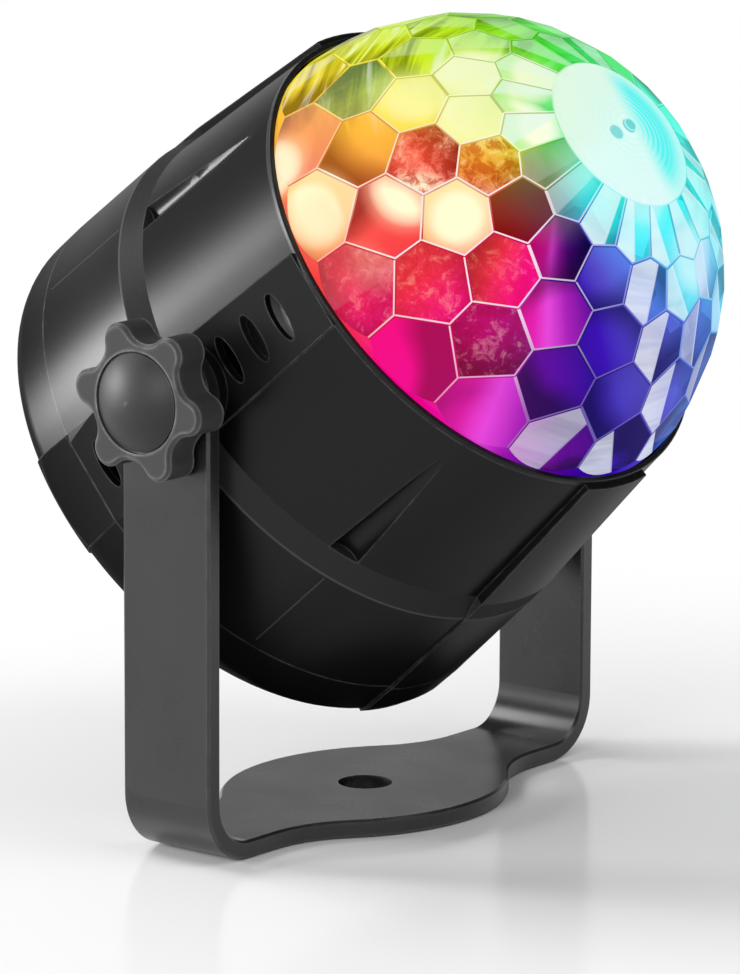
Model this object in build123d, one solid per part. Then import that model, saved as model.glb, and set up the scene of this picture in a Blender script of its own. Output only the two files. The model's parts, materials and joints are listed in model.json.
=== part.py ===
from build123d import *
import os
from math import asin, cos, radians, sin, sqrt, tan

# Sizes are in millimetres and angles in degrees
full_turn = 360
quarter_turn = 90
overrun = 1.0

# Bracket: a flat bar bent to a U, stood on its widened foot
bracket_thickness = 3.0
arm_width = 17.8
pivot_height = 75.0
bend_radius = 10.0
foot_depth = 43.0
foot_crest_share = 0.3168
foot_fillet_share = 0.198
foot_hole_radius = 4.5
bracket_edge = 0.4
stud_clearance = 0.3

# Head: the barrel leans forward about the pivot, which lies a little above the barrel's axis
head_tilt = 50.3
pivot_rise = 1.0

# Barrel: radii and stations along its axis, counted from the pivot towards the dome
wall = 2.2
rim_radius = 42.5
rim_station = 30.2
nose_flare = 2.8
shelf_rise = 1.6
shelf_length = 4.3
shell_flare = 0.7
seam_station = 24.4
shelf_set_back = 1.0

# Bezel ring at the rim
bezel_thickness = 0.8
bezel_width = 0.9
bezel_lip_length = 1.2
bezel_lip_width = 0.35
bezel_clearance = 0.05
bezel_edge = 0.3

# Spines along the top and the underside
spine_angle = 20.4
spine_front_rise = 1.1
spine_shelf_rise = 1.7
spine_seam_rise = 0.6

# Flat bands along the two sides, under the arms
band_front_width = 13.4
band_rear_width = 16.4
band_front_sink = 0.1
band_shelf_sink = 0.2
band_step_sink = 0.5
band_sink = 0.55
band_corner_rise = 0.3

# Vent slots through the side bands
slot_length = 8.4
slot_width = 2.7
slot_pitch = 5.95
front_slot_station = 9.8
front_slots = 3
rear_slot_station = 14.1
rear_slots = 2

# Flutes: tapered hollows between the bands and the spines, cut by a cone that lies a little proud
flute_length = 27.9
flute_radius = 3.0
flute_tip_radius = 0.9
flute_lift = 1.0
flute_wall = 1.4
flute_angles = (45, 135, 225, 315)

# Pivot bosses, inserts and friction washers
boss_radius = 7.8
boss_length = 7.75
boss_sink = 0.5
friction_room = 0.95
stud_radius = 3.0
running_clearance = 0.05
seat_clearance = 0.02
insert_radius = 4.5
insert_groove_depth = 0.4
insert_groove_width = 1.2
washer_gap = 0.1
washer_margin = 1.3
knob_washer_thickness = 0.8

# Knobs
knob_thickness = 6.0
knob_lobes = 6
knob_lobe_angle = 16.8
knob_tip_radius = 12.9
knob_valley_radius = 9.5
knob_lobe_radius = 2.9
knob_lobe_fillet = 3.4
knob_edge = 0.6
cap_radius = 7.75
cap_recess = 0.7
cap_groove = 0.35
cap_dome_height = 2.4
cap_rim_height = 0.5
stud_head_radius = 4.6
stud_head_height = 3.2
stud_tip_setback = 0.8
hexagon_sides = 6

# Rear cover
cover_straight = 6.0
corner_radius = 4.0
lip_length = 2.4
lip_width = 1.2
lip_clearance = 0.2

# Cover screws, their wells in the cover and their bosses in the barrel
screw_circle_inset = 5.8
screw_boss_radius = 3.6
screw_boss_length = 12.0
screw_shank_radius = 1.5
screw_head_radius = 2.7
screw_head_height = 2.0
screw_length = 12.0
well_floor = 4.0
well_bore_clearance = 0.3
boss_gap = 0.4
rib_thickness = 2.0

# Vents, gland and microphone hole in the rear face
rear_vent_length = 13.0
rear_vent_width = 2.4
rear_vent_pitch = 5.0
rear_vent_shift = 0.2
rear_vents = 5
gland_inset = 23.6
gland_radius = 5.0
gland_flange_radius = 6.8
gland_flange_height = 2.4
gland_nut_height = 1.8
gland_bore_radius = 2.6
mic_inset = 9.0
mic_hole_radius = 0.8
mic_radius = 3.0
mic_length = 3.4
mic_ring_width = 1.0
mic_ring_height = 3.4
mic_gap = 0.2

# Ledge and heat sink
ledge_station = 4.0
ledge_thickness = 2.0
sink_clearance = 0.5
sink_thickness = 2.0
sink_boss_clearance = 0.4
fin_height = 8.0
fin_thickness = 1.4
fin_first = 11.0
fin_pitch = 4.0
fin_rows = 3
fin_clearance = 0.6
shaft_hole_radius = 4.0

# Light board, emitters and lenses
board_thickness = 1.6
light_board_inset = 2.9
emitter_count = 3
emitter_clearance = 3.6
emitter_first_angle = 90
emitter_side = 5.0
emitter_base_height = 1.0
emitter_dome_radius = 1.8
lens_foot_radius = 4.4
lens_foot_height = 1.0
lens_cavity_radius = 3.7
lens_cavity_height = 3.0
lens_radius = 7.5
lens_flange_height = 1.0
lens_crown = 1.0

# Reflector tray
tray_clearance = 0.6
tray_station = 19.0
tray_thickness = 1.2
tray_rim_height = 4.0
tray_rim_width = 1.2
tray_leg_radius = 2.3
tray_leg_inset = 2.5
tray_leg_first_angle = 30
tray_legs = 3
tray_lens_clearance = 0.4
tray_screw_radius = 1.2
tray_screw_head_radius = 2.3
tray_screw_head_height = 1.4
tray_screw_tip_setback = 0.4

# Gear motor and its bracket
standoff_radius = 2.6
standoff_length = 8.8
standoff_clearance = 3.6
motor_bracket_margin = 4.0
motor_bracket_width = 14.0
motor_bracket_thickness = 1.2
gearbox_radius = 14.0
gearbox_length = 8.0
gearbox_nose_radius = 3.0
gearbox_nose_length = 3.0
gearbox_bore_depth = 8.0
motor_radius = 13.0
motor_length = 11.0
motor_edge = 1.5
motor_screw_radius = 1.4
motor_screw_head_radius = 2.4
motor_screw_head_height = 1.6
motor_screw_length = 6.0
motor_lead_radius = 0.7
motor_lead_spread = 5.0

# Driver board and what it carries
driver_board_clearance = 0.6
driver_board_station = 26.0
driver_post_radius = 2.8
driver_post_inset = 5.4
driver_posts = 3
driver_post_first_angle = 90
gland_notch_radius = 8.2
board_screw_radius = 1.2
board_screw_head_radius = 2.4
board_screw_head_height = 1.4
board_screw_length = 6.0
transformer_room = 6.4
transformer_width = 14.0
transformer_height = 12.0
transformer_margin = 1.9
transformer_rise = 2.0
transformer_flange = 1.6
transformer_core_width = 8.0
capacitor_radius = 4.0
capacitor_height = 13.0
capacitor_edge = 0.6
capacitor_margin = 7.4
capacitor_rises = (9.0, -4.0)
header_length = 10.0
header_width = 4.6
header_height = 5.0
header_shift = 14.0
header_inset = 12.4
lead_radius = 1.2
lead_bow = 2.4
curve_share = 0.45

# Dome: rings of flat facets round a sphere, with a plain lens at the pole and a hub inside
dome_centre_station = 25.8
dome_clearance = 1.0
dome_wall = 2.2
skirt_clearance = 0.35
dome_skirt_station = 22.0
facets_per_ring = 18
facet_ring_angles = (74.0, 62.6, 49.95, 37.3, 25.9)
facet_ring_rises = (0.2, 0, 0, 0, 0)
facet_phase = 5
pole_lens_angle = 19.3
pole_lens_rise = 0.3
pole_nub_radius = 1.1
pole_nub_height = 0.4
hub_radius = 3.4
hub_length = 8.0
hub_clip_radius = 3.6
hub_clip_thickness = 1.2
shaft_radius = 1.5
shaft_end_gap = 0.2

# Sizes that follow from the ones above
shelf_inner_radius = rim_radius + nose_flare
shelf_outer_radius = shelf_inner_radius + shelf_rise
seam_radius = shelf_outer_radius + shell_flare
band_front_plane = rim_radius - band_front_sink
band_shelf_plane = shelf_inner_radius - band_shelf_sink
band_step_plane = shelf_outer_radius - band_step_sink
band_plane = seam_radius - band_sink
boss_outer_face = band_plane - boss_sink
boss_inner_face = boss_outer_face - boss_length
arm_inner_face = boss_outer_face + friction_room
arm_outer_face = arm_inner_face + bracket_thickness
bracket_width = 2 * arm_outer_face
foot_crest_radius = foot_crest_share * bracket_width
foot_fillet = foot_fillet_share * bracket_width
washer_radius = arm_width / 2 - washer_margin
barrel_front = rim_station - bezel_thickness
bezel_inner_radius = rim_radius - bezel_width
cover_corner_station = seam_station + cover_straight
cover_rear_station = cover_corner_station + corner_radius
cover_floor_station = cover_rear_station - wall
barrel_bore_radius = seam_radius - wall
screw_circle_radius = barrel_bore_radius - screw_circle_inset
sink_radius = boss_inner_face - sink_clearance
tray_radius = boss_inner_face - tray_clearance
tray_leg_circle_radius = tray_radius - tray_leg_inset
ledge_inner_radius = tray_leg_circle_radius - tray_leg_radius
fin_circle_radius = ledge_inner_radius - fin_clearance
light_board_radius = ledge_inner_radius - light_board_inset
emitter_circle_radius = shaft_hole_radius + emitter_clearance + lens_radius + tray_lens_clearance
sink_station = ledge_station + ledge_thickness
sink_face = sink_station + sink_thickness
light_board_face = sink_face + board_thickness
tray_face = tray_station + tray_thickness
motor_bracket_face = sink_station - standoff_length
gearbox_face = motor_bracket_face - motor_bracket_thickness
gearbox_rear = gearbox_face - gearbox_length
motor_rear = gearbox_rear - motor_length
standoff_spread = gearbox_radius + standoff_clearance + motor_screw_head_radius
motor_bracket_length = 2 * (standoff_spread + motor_bracket_margin)
driver_board_radius = screw_circle_radius - screw_boss_radius - driver_board_clearance
driver_post_circle_radius = driver_board_radius - driver_post_inset
mic_rise = driver_post_circle_radius - mic_inset
gland_drop = seam_radius - gland_inset
rear_vent_place = (seam_radius - corner_radius) / 2 + rear_vent_shift
transformer_length = driver_board_radius - motor_radius - transformer_room
transformer_place = (transformer_length / 2 + transformer_margin - driver_board_radius, transformer_rise)
capacitor_shift = driver_board_radius - capacitor_margin - capacitor_radius
header_place = (header_shift, driver_board_radius - header_inset)
dome_radius = bezel_inner_radius - dome_clearance
dome_skirt_radius = bezel_inner_radius - skirt_clearance
dome_inner_radius = dome_radius - dome_wall
pole_lens_crown_radius = dome_radius + pole_lens_rise
pole_lens_radius = pole_lens_crown_radius * sin(radians(pole_lens_angle))
hub_station = dome_centre_station + dome_inner_radius - hub_length
knob_washer_outer_face = arm_outer_face + washer_gap + knob_washer_thickness
knob_face = knob_washer_outer_face + knob_thickness
cap_seat = knob_face - cap_recess
tray_screw_length = tray_face - ledge_station - tray_screw_tip_setback


def rod(radius, low, high, x=0, y=0):
    """An upright cylinder between two stations."""
    return Pos(x, y, low) * Cylinder(radius, high - low, align=(Align.CENTER, Align.CENTER, Align.MIN))


def ring(outer, inner, low, high, x=0, y=0):
    """An upright tube between two stations."""
    return rod(outer, low, high, x, y) - rod(inner, low - overrun, high + overrun, x, y)


def turned(*corners):
    """A solid turned about the barrel's axis from corners of radius and station."""
    outline = Polyline(*[(radius, 0, station) for radius, station in corners], close=True)
    return revolve(make_face(outline), Axis.Z, full_turn)


def crown_arc(radius, station, height):
    """The arc of a crown from its rim to its middle, centred on the axis it is turned about."""
    ball = (radius ** 2 + height ** 2) / (2 * height)
    half_angle = asin(radius / ball) / 2
    top = station + height
    return ThreePointArc((radius, 0, station),
                         (ball * sin(half_angle), 0, top - ball + ball * cos(half_angle)), (0, 0, top))


def around(shape, count, first_angle=0):
    """Copies of a shape, evenly spaced about the barrel's axis."""
    step = full_turn / count
    return [Rot(0, 0, first_angle + step * number) * shape for number in range(count)]


def across(radius, low, high):
    """A cylinder along the pivot, between two distances from the middle."""
    return Pos(low, pivot_rise, 0) * Rot(0, quarter_turn, 0) * Cylinder(
        radius, high - low, align=(Align.CENTER, Align.CENTER, Align.MIN))


def across_ring(outer, inner, low, high):
    """A tube along the pivot."""
    return across(outer, low, high) - across(inner, low - overrun, high + overrun)


def placed(shape):
    """Moves a shape from the barrel's frame to its leaning place in the bracket."""
    return Pos(0, 0, pivot_height) * Rot(head_tilt, 0, 0) * Pos(0, -pivot_rise, 0) * shape


def mirrored(shape):
    """The same shape on the other side of the barrel."""
    return mirror(shape, Plane.YZ)


def save(node, *shapes):
    """Writes one node, as one solid or a group of separate solids."""
    solids = [solid for shape in shapes for solid in shape.solids()]
    export_step(solids[0] if len(solids) == 1 else Compound(children=solids), f"parts/{node}.step")


# Bracket
def foot_outline():
    """The foot: a bar whose middle swells to two shallow crests."""
    crest_drop = foot_crest_radius - foot_depth / 2
    crest = Circle(foot_crest_radius)
    lens = (Pos(0, -crest_drop) * crest) & (Pos(0, crest_drop) * crest)
    bar_length = bracket_width - 2 * bend_radius
    outline = lens + Rectangle(bar_length, arm_width)
    corners = [v for v in outline.vertices() if abs(v.X) < bar_length / 2 - overrun]
    return fillet(corners, foot_fillet)


def yoke_bracket():
    """The U of flat bar with its swollen foot, pivot holes and centre hole."""
    outer = Pos(0, 0, pivot_height / 2) * Box(bracket_width, arm_width, pivot_height)
    inner_width = bracket_width - 2 * bracket_thickness
    inner = Pos(0, 0, bracket_thickness + pivot_height / 2) * Box(inner_width, foot_depth, pivot_height)
    bends = [e for e in outer.edges().filter_by(Axis.Y) if e.center().Z < bracket_thickness]
    inner_bends = [e for e in inner.edges().filter_by(Axis.Y) if e.center().Z < pivot_height / 2]
    bar = fillet(bends, bend_radius) - fillet(inner_bends, bend_radius - bracket_thickness)
    ends = Rot(0, quarter_turn, 0) * Cylinder(arm_width / 2, bracket_width)
    gap = Box(inner_width, foot_depth, pivot_height)
    bar += Pos(0, 0, pivot_height) * (ends - gap)
    bar += extrude(foot_outline(), bracket_thickness)
    bar = chamfer(bar.edges(), bracket_edge)
    stud_hole = Rot(0, quarter_turn, 0) * Cylinder(stud_radius + stud_clearance, bracket_width + overrun)
    bar -= Pos(0, 0, pivot_height) * stud_hole
    return bar - rod(foot_hole_radius, -overrun, bracket_thickness + overrun)


# Barrel housing
def band_wedge():
    """The stretch of the barrel's right side that its flat band takes up."""
    def reach(station):
        share = (station + seam_station) / (barrel_front + seam_station)
        return (band_rear_width + (band_front_width - band_rear_width) * share) / 2
    low = -cover_rear_station - overrun
    high = barrel_front + overrun
    outline = Polyline((0, -reach(low), low), (0, reach(low), low), (0, reach(high), high),
                       (0, -reach(high), high), close=True)
    slab = extrude(make_face(outline), seam_radius + overrun - boss_inner_face, dir=(1, 0, 0))
    return Pos(boss_inner_face, pivot_rise / 2, 0) * slab


def band_profile():
    """The outer face of the flat band, as a solid below it."""
    corners = ((0, -cover_rear_station), (band_plane, -cover_rear_station), (band_plane, -seam_station),
               (band_step_plane, -shelf_length), (band_shelf_plane, 0), (band_front_plane, barrel_front),
               (0, barrel_front))
    outline = Polyline(*[(x, 0, z) for x, z in corners], close=True)
    return extrude(make_face(outline), band_rear_width, both=True)


def with_bands(form, limit):
    """The form with its right and left sides brought to the flat bands, within a limiting form."""
    wedge = band_wedge()
    flat = wedge & band_profile() & limit
    return form - wedge - mirrored(wedge) + flat + mirrored(flat)


def spine(*corners):
    """A raised strip turned through the spine's angle, for the top."""
    outline = Polyline(*[(radius, 0, station) for radius, station in corners], close=True)
    strip = revolve(make_face(outline), Axis.Z, spine_angle)
    return Rot(0, 0, quarter_turn - spine_angle / 2) * strip


def barrel_spines():
    """The strips along the top and the underside of the barrel."""
    foot_radius = rim_radius - bezel_width
    top = spine((foot_radius, -seam_station), (seam_radius + spine_seam_rise, -seam_station),
                (shelf_inner_radius + spine_shelf_rise, 0),
                (rim_radius + spine_front_rise, barrel_front), (foot_radius, barrel_front))
    return [top, Rot(0, 0, 2 * quarter_turn) * top]


def flute(radius_growth):
    """A blunt cone that lies along the barrel's surface, its narrow end near the rim."""
    taper = (shelf_inner_radius - rim_radius) / barrel_front
    start = Vector(shelf_inner_radius + flute_lift, 0, 0)
    tip = Vector(shelf_inner_radius + flute_lift - taper * flute_length, 0, flute_length)
    along = tip - start
    cone = Cone(flute_radius + radius_growth, flute_tip_radius + radius_growth, along.length,
                align=(Align.CENTER, Align.CENTER, Align.MIN))
    if radius_growth:
        cone += rod(flute_radius + radius_growth, -radius_growth, 0)
    return Plane(origin=start, z_dir=along.normalized()) * cone


def side_slots():
    """The vent slots through the right side."""
    stations = [front_slot_station + slot_pitch * number for number in range(front_slots)]
    stations += [-rear_slot_station - slot_pitch * number for number in range(rear_slots)]
    outline = Plane(origin=(boss_inner_face, pivot_rise / 2, 0), x_dir=(0, 1, 0), z_dir=(1, 0, 0))
    opening = outline * Ellipse(slot_length / 2, slot_width / 2)
    slot = extrude(opening, seam_radius + overrun - boss_inner_face)
    return [Pos(0, 0, station) * slot for station in stations]


def barrel_housing():
    """The barrel from the rear seam to the rim, open at both ends."""
    form = turned((0, -seam_station), (seam_radius, -seam_station), (shelf_outer_radius, -shelf_length),
                  (shelf_inner_radius, 0), (rim_radius, barrel_front), (0, barrel_front))
    form = with_bands(form, rod(seam_radius, -seam_station, barrel_front))
    for strip in barrel_spines():
        form += strip
    lip_seat_radius = bezel_inner_radius + bezel_lip_width + bezel_clearance
    lip_seat = barrel_front - bezel_lip_length - bezel_clearance
    bore = turned((0, -seam_station - overrun), (barrel_bore_radius, -seam_station - overrun),
                  (barrel_bore_radius, -seam_station),
                  (shelf_outer_radius - wall, -shelf_length - shelf_set_back),
                  (shelf_inner_radius - wall, -shelf_set_back),
                  (dome_skirt_radius + bezel_width / 2, lip_seat), (lip_seat_radius, lip_seat),
                  (lip_seat_radius, barrel_front + overrun), (0, barrel_front + overrun))
    shell = form - bore
    for angle in flute_angles:
        shell += Rot(0, 0, angle) * (flute(flute_wall) & form)
    shell += ring(shelf_inner_radius - wall / 2, ledge_inner_radius, ledge_station, sink_station)
    ledge_pilot = rod(tray_screw_radius, ledge_station - overrun, sink_station + overrun,
                      x=tray_leg_circle_radius)
    shell -= around(ledge_pilot, tray_legs, tray_leg_first_angle)
    boss = across(boss_radius, boss_inner_face, boss_outer_face)
    shell += [boss, mirrored(boss)]
    boss_end = -seam_station + lip_length + boss_gap * 2
    post = rod(screw_boss_radius, boss_end, boss_end + screw_boss_length, x=screw_circle_radius)
    rib_length = barrel_bore_radius + wall / 2 - screw_circle_radius
    rib = Pos(screw_circle_radius + rib_length / 2, 0, boss_end + screw_boss_length / 2) * Box(
        rib_length, rib_thickness, screw_boss_length)
    pilot = rod(screw_shank_radius, boss_end - overrun, boss_end + screw_length - well_floor / 2,
                x=screw_circle_radius)
    for angle in flute_angles:
        shell += Rot(0, 0, angle) * (post + rib)
        shell -= Rot(0, 0, angle) * pilot
        shell -= Rot(0, 0, angle) * flute(0)
    insert_hole = across(insert_radius + seat_clearance, boss_inner_face - overrun, boss_outer_face + overrun)
    shell -= [insert_hole, mirrored(insert_hole)]
    for slot in side_slots():
        shell -= [slot, mirrored(slot)]
    return shell


def bezel_ring():
    """The ring on the rim, with a lip that seats inside the barrel."""
    face = ring(rim_radius, bezel_inner_radius, barrel_front, rim_station)
    front_edges = face.edges().filter_by(GeomType.CIRCLE).group_by(Axis.Z)[-1]
    face = fillet(front_edges.sort_by(SortBy.LENGTH)[-1], bezel_edge)
    lip = ring(bezel_inner_radius + bezel_lip_width, bezel_inner_radius, barrel_front - bezel_lip_length,
               barrel_front)
    return face + lip


# Rear cover
def cover_form(inset, top):
    """The cover's rounded form, drawn in by an inset, up to a station."""
    radius = seam_radius - inset
    corner = corner_radius - inset
    rear = -cover_rear_station + inset
    form = rod(radius, rear, top)
    return fillet(form.edges().filter_by(GeomType.CIRCLE).sort_by(Axis.Z)[0], corner)


def cover_spines():
    """The ends of the two spines, rounded over the cover's corner."""
    outer = seam_radius + spine_seam_rise
    foot_radius = seam_radius - wall / 2
    top = spine((foot_radius, -seam_station), (outer, -seam_station), (outer, -cover_corner_station),
                (outer - spine_seam_rise, -cover_corner_station - corner_radius / 2),
                (foot_radius, -cover_corner_station - corner_radius / 2))
    return [top, Rot(0, 0, 2 * quarter_turn) * top]


def rear_vents_cut():
    """Rows of slots through the rear face, left and right."""
    slot = extrude(SlotOverall(rear_vent_length, rear_vent_width), cover_rear_station)
    half_count = (rear_vents - 1) / 2
    rows = [(number - half_count) * rear_vent_pitch for number in range(rear_vents)]
    return [Pos(side * rear_vent_place, row, -cover_rear_station - overrun) * slot
            for side in (-1, 1) for row in rows]


def rear_cover():
    """The cover behind the seam, with its lip, wells, posts and vents."""
    form = with_bands(cover_form(0, -seam_station), cover_form(-band_corner_rise, -seam_station))
    for strip in cover_spines():
        form += strip
    hollow = cover_form(wall, -seam_station + overrun)
    shell = form - hollow
    lip_outer = barrel_bore_radius - lip_clearance
    shell += ring(barrel_bore_radius + wall / 2, lip_outer - lip_width, -cover_corner_station, -seam_station)
    shell += ring(lip_outer, lip_outer - lip_width, -seam_station, -seam_station + lip_length)
    well_top = -seam_station + lip_length + boss_gap
    floor_station = well_top - well_floor
    well = rod(screw_boss_radius, -cover_rear_station, well_top, x=screw_circle_radius)
    well_bore = rod(screw_head_radius + well_bore_clearance, -cover_rear_station - overrun, floor_station,
                    x=screw_circle_radius)
    shank_hole = rod(screw_shank_radius + lip_clearance, floor_station - overrun, well_top + overrun,
                     x=screw_circle_radius)
    fill = cover_form(0, well_top)
    for angle in flute_angles:
        shell += Rot(0, 0, angle) * well & fill
    for angle in flute_angles:
        shell -= Rot(0, 0, angle) * (well_bore + shank_hole)
    post = rod(driver_post_radius, -cover_rear_station + wall / 2, -driver_board_station - board_thickness,
               x=driver_post_circle_radius)
    for copy in around(post, driver_posts, driver_post_first_angle):
        shell += copy
    shell += ring(mic_radius + mic_ring_width, mic_radius + seat_clearance, -cover_floor_station,
                  -cover_floor_station + mic_ring_height, y=mic_rise)
    holes = [rod(gland_radius + seat_clearance, -cover_rear_station - overrun, -seam_station, y=-gland_drop),
             rod(mic_hole_radius, -cover_rear_station - overrun, -cover_floor_station + mic_gap, y=mic_rise)]
    pilot = rod(board_screw_radius, -cover_floor_station, -driver_board_station, x=driver_post_circle_radius)
    holes += around(pilot, driver_posts, driver_post_first_angle)
    shell -= holes
    return shell - rear_vents_cut()


def cover_screws():
    """Four screws from the rear, through the wells into the barrel's bosses."""
    head_face = -seam_station + lip_length + boss_gap - well_floor
    screw = rod(screw_head_radius, head_face - screw_head_height, head_face, x=screw_circle_radius)
    screw += rod(screw_shank_radius - seat_clearance, head_face, head_face + screw_length,
                 x=screw_circle_radius)
    return [Rot(0, 0, angle) * screw for angle in flute_angles]


def cord_gland():
    """A rubber bush in the rear face, open for a cord."""
    rear = -cover_rear_station
    inside = -cover_floor_station
    bush = rod(gland_radius, rear, inside, y=-gland_drop)
    bush += rod(gland_flange_radius, rear - gland_flange_height, rear, y=-gland_drop)
    bush += rod(gland_flange_radius - wall / 2, inside, inside + gland_nut_height, y=-gland_drop)
    bore = rod(gland_bore_radius, rear - gland_flange_height - overrun,
               inside + gland_nut_height + overrun, y=-gland_drop)
    return bush - bore


def microphone():
    """The capsule in its ring behind the microphone hole."""
    low = -cover_floor_station + mic_gap
    return rod(mic_radius, low, low + mic_length, y=mic_rise)


# Heat sink and lights
def heat_sink():
    """A round plate with two banks of fins on its rear face."""
    plate = rod(sink_radius, sink_station, sink_face)
    banks = []
    for row in range(fin_rows):
        place = fin_first + fin_pitch * row
        length = 2 * sqrt(fin_circle_radius ** 2 - place ** 2)
        fin = Box(length, fin_thickness, fin_height + sink_thickness / 2)
        middle = sink_station - fin_height / 2 + sink_thickness / 4
        banks += [Pos(0, place, middle) * fin, Pos(0, -place, middle) * fin]
    plate += banks
    boss_room = across(boss_radius + sink_boss_clearance, boss_inner_face - sink_boss_clearance,
                       seam_radius)
    plate -= [boss_room, mirrored(boss_room)]
    plate -= rod(shaft_hole_radius, sink_station - overrun, sink_face + overrun)
    plate -= rod(lead_radius + lip_clearance, sink_station - overrun, sink_face + overrun,
                 x=header_place[0], y=header_place[1])
    hole = rod(tray_screw_radius + seat_clearance, sink_station - overrun, sink_face + overrun,
               x=tray_leg_circle_radius)
    return plate - around(hole, tray_legs, tray_leg_first_angle)


def light_board():
    """The round board on the heat sink, with a hole for the shaft."""
    return ring(light_board_radius, shaft_hole_radius, sink_face, light_board_face)


def led_emitters():
    """Three square emitters, each with a small dome."""
    base_top = light_board_face + emitter_base_height
    base = Pos(emitter_circle_radius, 0, light_board_face + emitter_base_height / 2) * Box(
        emitter_side, emitter_side, emitter_base_height)
    ball = Pos(emitter_circle_radius, 0, base_top) * Sphere(emitter_dome_radius)
    ball &= rod(emitter_side, base_top, base_top + emitter_side, x=emitter_circle_radius)
    return around(base + ball, emitter_count, emitter_first_angle)


def led_lenses():
    """Three collimators: flared cups of clear plastic over the emitters."""
    top = tray_face - lens_crown
    foot = light_board_face + lens_foot_height
    flare = top - lens_flange_height
    outline = [Polyline((0, 0, tray_face), (0, 0, light_board_face), (lens_foot_radius, 0, light_board_face),
                        (lens_foot_radius, 0, foot)),
               ThreePointArc((lens_foot_radius, 0, foot),
                             ((lens_foot_radius + lens_radius) / 2 + lens_crown / 2, 0, (foot + flare) / 2),
                             (lens_radius, 0, flare)),
               Line((lens_radius, 0, flare), (lens_radius, 0, top)),
               crown_arc(lens_radius, top, lens_crown)]
    cup = revolve(make_face(outline), Axis.Z, full_turn)
    cup -= rod(lens_cavity_radius, light_board_face - overrun, light_board_face + lens_cavity_height)
    return around(Pos(emitter_circle_radius, 0, 0) * cup, emitter_count, emitter_first_angle)


def reflector_tray():
    """A white plate round the lenses, on three legs."""
    plate = rod(tray_radius, tray_station, tray_face)
    plate += ring(tray_radius, tray_radius - tray_rim_width, tray_station - tray_rim_height, tray_station)
    leg = rod(tray_leg_radius, sink_face, tray_station, x=tray_leg_circle_radius)
    for copy in around(leg, tray_legs, tray_leg_first_angle):
        plate += copy
    plate -= rod(shaft_hole_radius, tray_station - overrun, tray_face + overrun)
    lens_hole = rod(lens_radius + tray_lens_clearance, tray_station - overrun, tray_face + overrun,
                    x=emitter_circle_radius)
    plate -= around(lens_hole, emitter_count, emitter_first_angle)
    screw_hole = rod(tray_screw_radius + seat_clearance, sink_face - overrun, tray_face + overrun,
                     x=tray_leg_circle_radius)
    return plate - around(screw_hole, tray_legs, tray_leg_first_angle)


def tray_screws():
    """Three screws through the tray's legs into the heat sink."""
    screw = rod(tray_screw_head_radius, tray_face, tray_face + tray_screw_head_height,
                x=tray_leg_circle_radius)
    screw += rod(tray_screw_radius - seat_clearance, tray_face - tray_screw_length, tray_face,
                 x=tray_leg_circle_radius)
    return around(screw, tray_legs, tray_leg_first_angle)


# Motor and drive
def motor_bracket():
    """A flat strip that carries the gear motor behind the heat sink."""
    middle = (gearbox_face + motor_bracket_face) / 2
    strip = Pos(0, 0, middle) * Box(motor_bracket_length, motor_bracket_width, motor_bracket_thickness)
    strip = fillet(strip.edges().filter_by(Axis.Z), motor_bracket_width / 3)
    holes = [rod(gearbox_nose_radius + seat_clearance, gearbox_face - overrun, motor_bracket_face + overrun)]
    for side in (-1, 1):
        holes.append(rod(motor_screw_radius + seat_clearance, gearbox_face - overrun,
                         motor_bracket_face + overrun, x=side * standoff_spread))
    return strip - holes


def motor_standoffs():
    """Two hexagonal pillars between the bracket and the heat sink."""
    prism = extrude(RegularPolygon(standoff_radius, hexagon_sides), standoff_length)
    pillars = []
    for side in (-1, 1):
        pillar = Pos(side * standoff_spread, 0, motor_bracket_face) * prism
        pillars.append(pillar - rod(motor_screw_radius + seat_clearance, motor_bracket_face - overrun,
                                    motor_bracket_face + motor_screw_length, x=side * standoff_spread))
    return pillars


def motor_screws():
    """Two screws through the bracket into the pillars."""
    screws = []
    for side in (-1, 1):
        screw = rod(motor_screw_head_radius, gearbox_face - motor_screw_head_height, gearbox_face,
                    x=side * standoff_spread)
        screw += rod(motor_screw_radius, gearbox_face, gearbox_face + motor_screw_length,
                     x=side * standoff_spread)
        screws.append(screw)
    return screws


def motor_gearbox():
    """The round gearbox, with the nose that the shaft turns in."""
    case = rod(gearbox_radius, gearbox_rear, gearbox_face)
    nose_end = gearbox_face + gearbox_nose_length
    case += rod(gearbox_nose_radius, gearbox_face, nose_end)
    return case - rod(shaft_radius + running_clearance, nose_end - gearbox_bore_depth, nose_end + overrun)


def gear_motor():
    """The motor's can behind the gearbox."""
    can = rod(motor_radius, motor_rear, gearbox_rear)
    rear_edge = can.edges().filter_by(GeomType.CIRCLE).sort_by(Axis.Z)[0]
    return fillet(rear_edge, motor_edge)


def motor_leads():
    """Two stiff wires from the driver board to the motor's rear face."""
    return [rod(motor_lead_radius, -driver_board_station, motor_rear, x=side * motor_lead_spread)
            for side in (-1, 1)]


def drive_shaft():
    """The long shaft from the gearbox to the dome's hub."""
    low = gearbox_face + gearbox_nose_length - gearbox_bore_depth + shaft_end_gap
    return rod(shaft_radius, low, hub_station + hub_length)


# Driver board
def driver_board():
    """The round board on three posts, notched for the cord's way in."""
    low = -driver_board_station - board_thickness
    plate = rod(driver_board_radius, low, -driver_board_station)
    plate -= rod(gland_notch_radius, low - overrun, -driver_board_station + overrun, y=-gland_drop)
    hole = rod(board_screw_radius + seat_clearance, low - overrun, -driver_board_station + overrun,
               x=driver_post_circle_radius)
    return plate - around(hole, driver_posts, driver_post_first_angle)


def board_screws():
    """Three screws that hold the driver board on its posts."""
    face = -driver_board_station
    screw = rod(board_screw_head_radius, face, face + board_screw_head_height, x=driver_post_circle_radius)
    screw += rod(board_screw_radius - seat_clearance, face - board_screw_length, face,
                 x=driver_post_circle_radius)
    return around(screw, driver_posts, driver_post_first_angle)


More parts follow.
